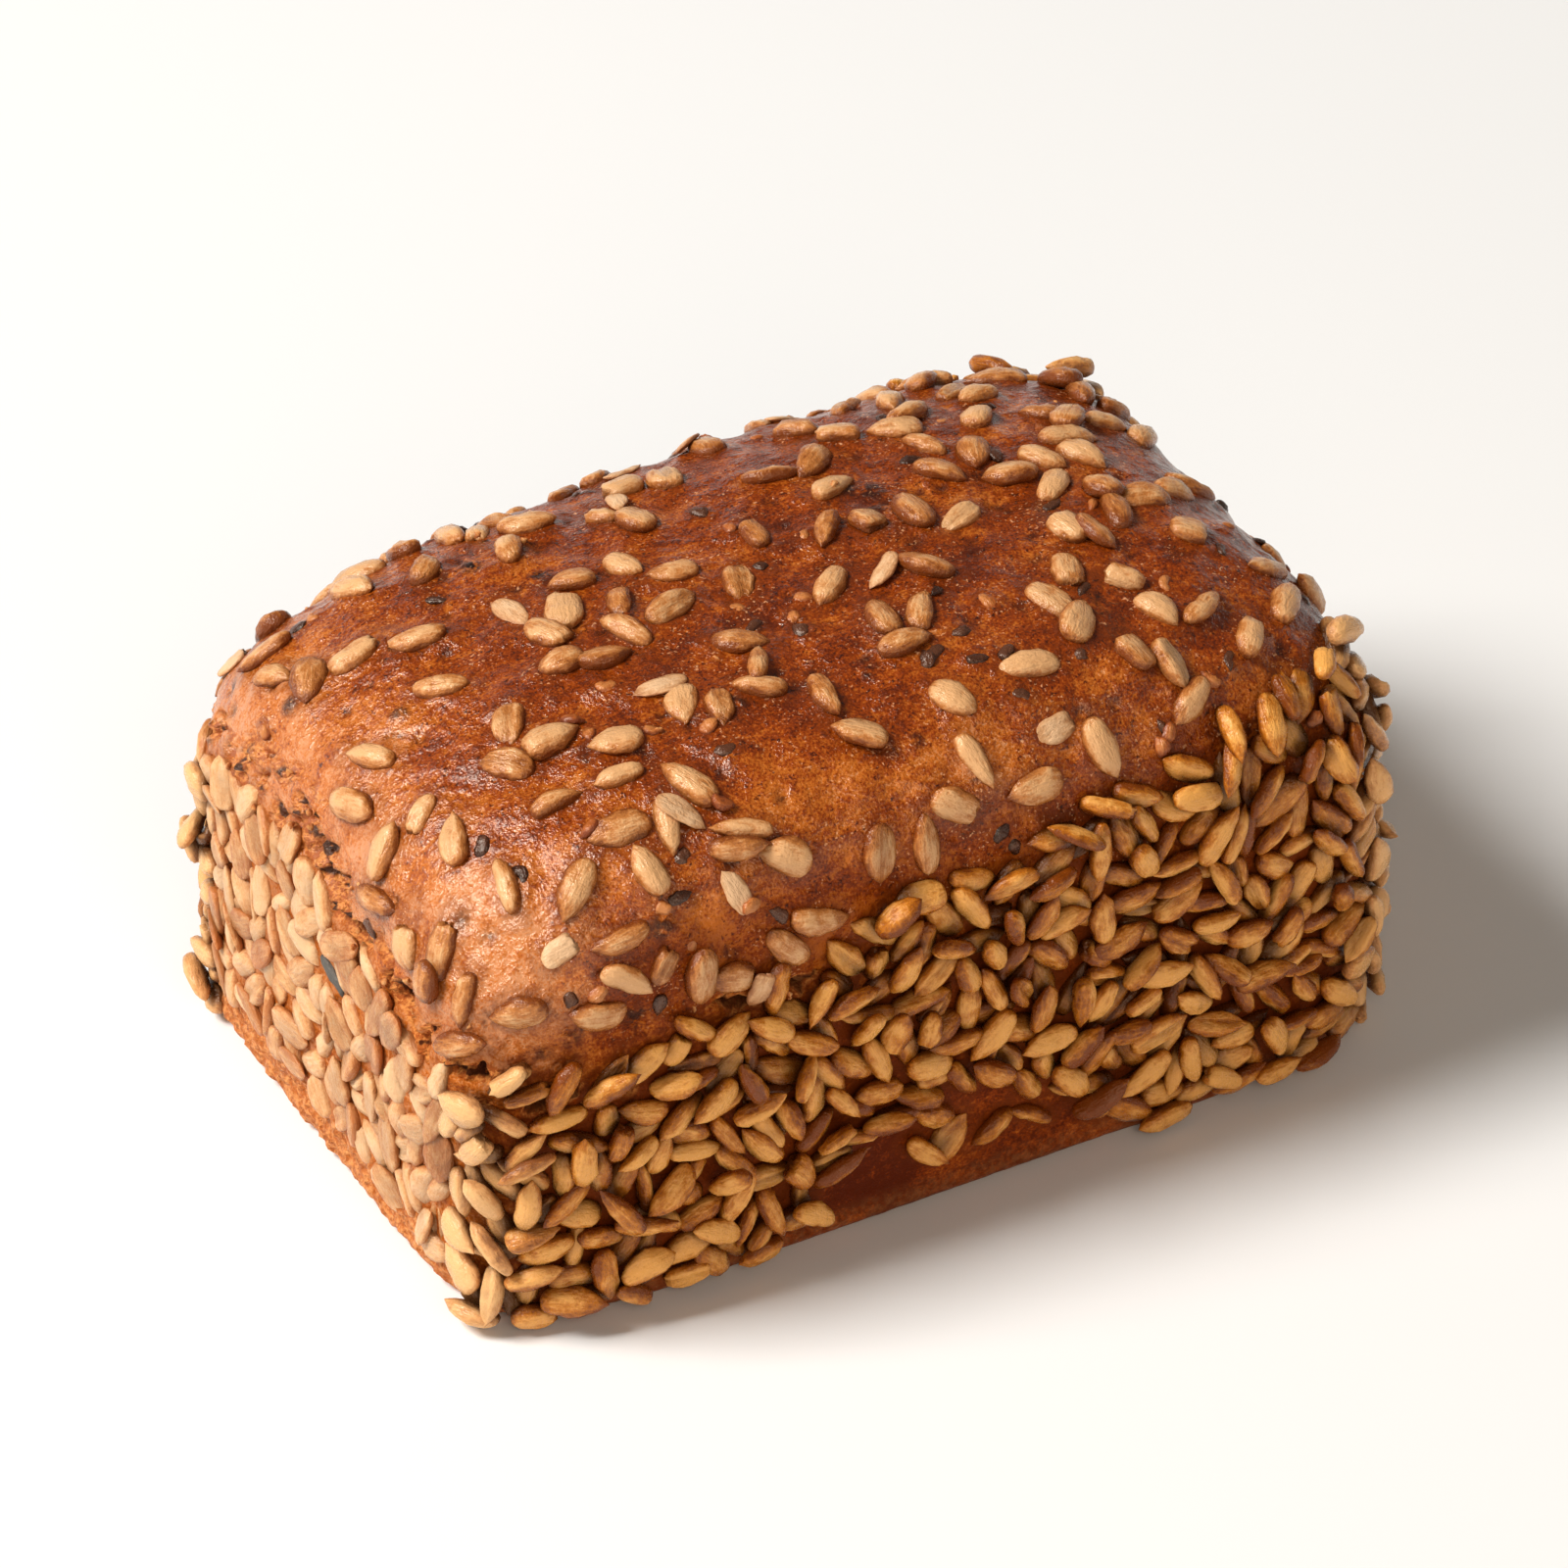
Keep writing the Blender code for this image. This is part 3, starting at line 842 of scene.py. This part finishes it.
def crust_material():
    material, wire, shader = new_material("baked_crust")
    tree = material.node_tree
    place = wire.node("TexCoord", output=3)
    streaky = wire.node("VectorMath", {"operation": "MULTIPLY"}, {0: place, 1: (0.6, 1.0, 1.0)})

    def number(name):
        return wire.node("Attribute", {"attribute_name": name}, output=2)

    def cloud(width, detail=2.0, roughness=0.5, vector=place):
        """Noise about 0.5 with waves as wide as width."""
        sockets = {"Vector": vector, "Scale": 1.0 / width, "Detail": detail, "Roughness": roughness}
        return wire.node("TexNoise", None, sockets)

    torn, wall, dull_share = number("torn"), number("wall"), number("dull")
    patches = cloud(6.0 * MM, 3.0, 0.6, streaky)
    flecks = cloud(1.5 * MM, 2.0)
    sugar = cloud(0.45 * MM, 2.0, 0.6)
    tone = number("bake") + 1.2 * (patches - 0.5) + 0.75 * (flecks - 0.5) + 1.3 * (sugar - 0.5)
    tone = tone.maths("MAXIMUM", tone, 0.4 * (dull_share - wall))
    stops = [(0.0, WALL_TAN), (0.2, AMBER), (0.6, RED_BROWN), (0.95, MAHOGANY)]
    colour = wire.node("ValToRGB", {"stops": stops}, {"Fac": tone.clamped()})
    # Painted shade round and under the kernels.
    shaded = number("contact") * (0.45 + 0.5 * flecks.between(0.35, 0.6))
    colour = shaded.clamped().blend(colour, (*SHADE_BROWN, 1.0))
    marks = (number("blister") * 0.85 + number("pit") * 0.75) * flecks.between(0.3, 0.55)
    colour = marks.clamped().blend(colour, (*CHAR, 1.0))
    specks = cloud(0.9 * MM, 2.0, 0.6).between(0.6, 0.72) * (1.0 - wall) * tone.between(0.3, 0.6) * 0.7
    colour = specks.blend(colour, (*CHAR, 1.0))
    # Painted highlights: pale glints put into the colour of the dome.
    glints = cloud(0.55 * MM, 1.0).between(0.62, 0.74) * cloud(5.0 * MM).between(0.42, 0.62) * (1.0 - wall) * 0.7
    colour = glints.blend(colour, (*PAINTED_GLINT, 1.0))
    grit = cloud(1.2 * MM, 2.0, 0.6)
    gritty = grit.between(0.36, 0.66).blend((*GRIT_DEEP, 1.0), (*GRIT_PALE, 1.0))
    colour = (number("foot") * 0.75).blend(colour, gritty)
    crumb = (0.5 * flecks + 0.5 * sugar).between(0.42, 0.56).blend((*CRUMB, 1.0), (*CRUMB_SHADE, 1.0))
    colour = torn.between(0.12, 0.35).blend(colour, crumb)
    # Painted shade: dark in the crumb's holes and along the narrow cracks on the long sides.
    holes = cloud(2.8 * MM).between(0.47, 0.56) * torn.between(0.45, 0.75)
    colour = holes.blend(colour, (*PORE_SHADE, 1.0))
    colour = (number("crack").between(0.2, 0.55) * 0.85).blend(colour, (*PORE_SHADE, 1.0))
    gloss = 0.18 + 0.36 * wall + 0.3 * torn.between(0.1, 0.4) + 0.5 * (flecks - 0.5) + 0.3 * (patches - 0.5)
    skin = cloud(2.4 * MM, 2.0, 0.5, streaky)
    height = 0.44 * skin + 0.38 * flecks + 0.19 * sugar + (0.9 * number("foot") + 1.2 * torn) * grit
    rough = wire.node("Bump", None, {"Height": height, "Strength": 1.0, "Distance": 1.0 * MM})
    dull = tree.nodes.new("ShaderNodeBsdfPrincipled")
    for finish, mirror in ((shader, GLAZE_MIRROR), (dull, DULL_MIRROR)):
        plug(tree, colour, finish.inputs["Base Color"])
        plug(tree, gloss.clamped(), finish.inputs["Roughness"])
        plug(tree, rough, finish.inputs["Normal"])
        finish.inputs["Specular Tint"].default_value = (*WARM_GLEAM, 1.0)
        finish.inputs["Specular IOR Level"].default_value = mirror
    both = tree.nodes.new("ShaderNodeMixShader")
    plug(tree, dull_share.clamped(), both.inputs[0])
    tree.links.new(shader.outputs[0], both.inputs[1])
    tree.links.new(dull.outputs[0], both.inputs[2])
    tree.links.new(both.outputs[0], tree.nodes["Material Output"].inputs["Surface"])
    return material


# %% [markdown]
# ## Toasted kernels
#
# Raw kernels are a greyish cream. Baking turns them tan to golden brown, with faint streaks along them. Each
# kernel keeps its own tone. Painted light and shade are added to their colour: paler on top, darker and more
# orange down their sides and at their edges and tips, and dark deep in the pile between them. On the ends a
# film of dough has dried over them, so there they are paler and meet the crust without an edge.

# %% Kernel materials
CORNER_TAN_AND_LIGHT = (0.8, 0.47, 0.22)


def kernel_material(name, pale, golden, dark, roughness, gap_shade_share=0.9, mirror=0.6):
    material, wire, shader = new_material(name)
    tree = material.node_tree
    tone = wire.node("Attribute", {"attribute_name": "tone"}, output=2)
    height = wire.node("Attribute", {"attribute_name": "height"}, output=2)
    buried = wire.node("Attribute", {"attribute_name": "buried"}, output=2)
    grain = wire.node("Attribute", {"attribute_name": "grain"}, output=1)
    stretched = wire.node("VectorMath", {"operation": "MULTIPLY"}, {0: grain, 1: (0.25, 1.0, 1.0)})
    streaks = wire.node("TexNoise", None, {"Vector": stretched, "Scale": 1.7, "Detail": 3.0, "Roughness": 0.6})
    blotches = wire.node("TexNoise", None, {"Vector": grain, "Scale": 0.4, "Detail": 2.0})
    pores = wire.node("TexNoise", None, {"Vector": grain, "Scale": 3.0, "Detail": 2.0})
    shade = 0.75 * tone - 0.15 + 1.3 * (blotches - 0.5) + 1.2 * (streaks - 0.5) + 0.7 * (pores - 0.5)
    edge = wire.node("Attribute", {"attribute_name": "edge"}, output=2)
    # Painted light and shade: paler on top, darker down the sides and at the edges and tips.
    shade = shade + 0.78 - 0.95 * height + 0.42 * edge
    stops = [(0.0, pale), (0.45, golden), (1.0, dark)]
    colour = wire.node("ValToRGB", {"stops": stops}, {"Fac": shade.clamped()})
    pale_share = wire.node("Attribute", {"attribute_name": "pale"}, output=2)
    # Paler near the ends: partly blending into the pressed kernels, partly painted light.
    colour = (pale_share * (0.75 - 0.5 * shade.clamped())).blend(colour, (*CORNER_TAN_AND_LIGHT, 1.0))
    # Painted shade: points deep in the pile between kernels are darkened.
    gap_shade_colour = [component * 0.3 for component in dark]
    colour = (buried * gap_shade_share).blend(colour, (*gap_shade_colour, 1.0))
    plug(tree, colour, shader.inputs["Base Color"])
    plug(tree, (roughness + 0.4 * (pores - 0.5)).clamped(), shader.inputs["Roughness"])
    relief = 0.36 * streaks + 0.14 * pores + 0.5 * blotches
    bump = wire.node("Bump", None, {"Height": relief, "Strength": 1.0, "Distance": 0.8 * MM})
    plug(tree, bump, shader.inputs["Normal"])
    shader.inputs["Specular Tint"].default_value = (*WARM_GLEAM, 1.0)
    shader.inputs["Specular IOR Level"].default_value = mirror
    return material


materials = {
    "wall": kernel_material("golden_kernels", (0.8, 0.37, 0.085), (0.52, 0.165, 0.014), (0.2, 0.042, 0.003), 0.24, 0.92, 0.42),
    "end": kernel_material("pressed_kernels", (0.8, 0.49, 0.25), (0.72, 0.36, 0.14), (0.5, 0.165, 0.04), 0.42, 0.7),
    "dome": kernel_material("toasted_kernels", (0.71, 0.38, 0.165), (0.5, 0.18, 0.044), (0.2, 0.045, 0.007), 0.22, 0.6, 0.5),
    "flake": kernel_material("pale_flakes", (0.78, 0.48, 0.26), (0.66, 0.34, 0.15), (0.42, 0.16, 0.055), 0.45),
    "bit": kernel_material("soaked_bits", (0.54, 0.19, 0.05), (0.4, 0.1, 0.018), (0.2, 0.04, 0.01), 0.33),
    "linseed": kernel_material("dark_linseeds", (0.1, 0.034, 0.016), (0.055, 0.017, 0.008), (0.025, 0.008, 0.004), 0.26),
    "husk": kernel_material("grey_husk", (0.075, 0.07, 0.062), (0.046, 0.043, 0.038), (0.018, 0.016, 0.014), 0.55, 0.0),
    "crumb": kernel_material("golden_crumbs", (0.7, 0.35, 0.13), (0.58, 0.21, 0.05), (0.36, 0.1, 0.02), 0.75, 0.4),
}

# %% [markdown]
# ## Pieces on the loaf
#
# Every mesh becomes a piece that stands for the plain solid and rides on its body.

# %% Place the pieces
def add_piece(name, mesh, material):
    """Makes an object of a mesh, gives it its finish, and hands it to the frame."""
    piece = bpy.data.objects.new(name, mesh)
    bpy.context.scene.collection.objects.link(piece)
    mesh.materials.append(material)
    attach(piece, "root")
    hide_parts("loaf")
    return piece


add_piece("crust", crust_mesh, crust_material())
for kind, mesh in piece_meshes.items():
    add_piece(piece_names[kind], mesh, materials[kind])

# %% [markdown]
# ## Studio
#
# A plain pale floor, a large soft lamp high up at the left and a little behind, a weaker warm one in front,
# and pale light from all round. The large lamp stands where the wet-looking sheen on the loaf's left shoulder
# says it stood: in the direction in which that shoulder mirrors the camera.

# %% Floor, lamps and camera
CAMERA_AZIMUTH = math.radians(-29.0)
CAMERA_ELEVATION = math.radians(36.5)
CAMERA_DISTANCE = 1.5
LOAF_SHARE = 0.82
SENSOR = 36.0 * MM
KEY_WAY = Vector((-0.62, 0.2, 0.76))
KEY_SIZE = 1.0
KEY_POWER = 90.0
FILL_WAY = Vector((-0.25, -0.8, 0.55))
FILL_SIZE = 1.2
FILL_POWER = 19.0
LAMP_DISTANCE = 2.6
SKY_LOW = 0.85
SKY_HIGH = 0.1


def look_at(thing, place, target):
    """Puts a lamp or camera at a place, facing a target."""
    thing.location = place
    thing.rotation_euler = (Vector(target) - Vector(place)).to_track_quat("-Z", "Y").to_euler()


def add_lamp(name, place, target, size, power, colour):
    data = bpy.data.lights.new(name, "AREA")
    data.size = size
    data.energy = power
    data.color = colour
    lamp = bpy.data.objects.new(name, data)
    bpy.context.scene.collection.objects.link(lamp)
    look_at(lamp, place, target)


def add_floor():
    sheet = bmesh.new()
    bmesh.ops.create_grid(sheet, x_segments=1, y_segments=1, size=3.0)
    mesh = bpy.data.meshes.new("floor")
    sheet.to_mesh(mesh)
    sheet.free()
    floor = bpy.data.objects.new("floor", mesh)
    bpy.context.scene.collection.objects.link(floor)
    material, _, shader = new_material("pale_floor")
    shader.inputs["Base Color"].default_value = (0.86, 0.855, 0.845, 1.0)
    shader.inputs["Roughness"].default_value = 0.9
    mesh.materials.append(material)


def add_camera():
    low, high = (Vector(corner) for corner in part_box("loaf"))
    target = (low + high) / 2.0
    back = Vector((
        math.sin(CAMERA_AZIMUTH) * math.cos(CAMERA_ELEVATION),
        -math.cos(CAMERA_AZIMUTH) * math.cos(CAMERA_ELEVATION),
        math.sin(CAMERA_ELEVATION),
    ))
    data = bpy.data.cameras.new("camera")
    data.sensor_width = SENSOR / MM
    span = (high.x - low.x) * math.cos(CAMERA_AZIMUTH) + (high.y - low.y) * abs(math.sin(CAMERA_AZIMUTH))
    data.lens = data.sensor_width * CAMERA_DISTANCE / (span / LOAF_SHARE)
    data.clip_end = 20.0
    camera = bpy.data.objects.new("camera", data)
    bpy.context.scene.collection.objects.link(camera)
    look_at(camera, target + back * CAMERA_DISTANCE, target)
    bpy.context.scene.camera = camera
    print("lens", round(data.lens, 1), "mm, loaf seen", round(span / MM), "mm wide")
    return target


target = add_camera()
add_floor()
add_lamp("soft_key", target + KEY_WAY.normalized() * LAMP_DISTANCE, target, KEY_SIZE, KEY_POWER, (1.0, 0.985, 0.96))
add_lamp("warm_fill", target + FILL_WAY.normalized() * LAMP_DISTANCE, target, FILL_SIZE, FILL_POWER, (1.0, 0.84, 0.66))
world = bpy.data.worlds.new("studio")
world.use_nodes = True
sky = Wire(world.node_tree)
way = sky.node("SeparateXYZ", None, {0: sky.node("TexCoord", output=0)}, 2)
glow = (1.0 - way.between(0.1, 0.2)) * (SKY_LOW - SKY_HIGH) + SKY_HIGH
plug(world.node_tree, glow, world.node_tree.nodes["Background"].inputs["Strength"])
world.node_tree.nodes["Background"].inputs["Color"].default_value = (1.0, 1.0, 1.0, 1.0)
bpy.context.scene.world = world
bpy.context.scene.view_settings.view_transform = "Standard"
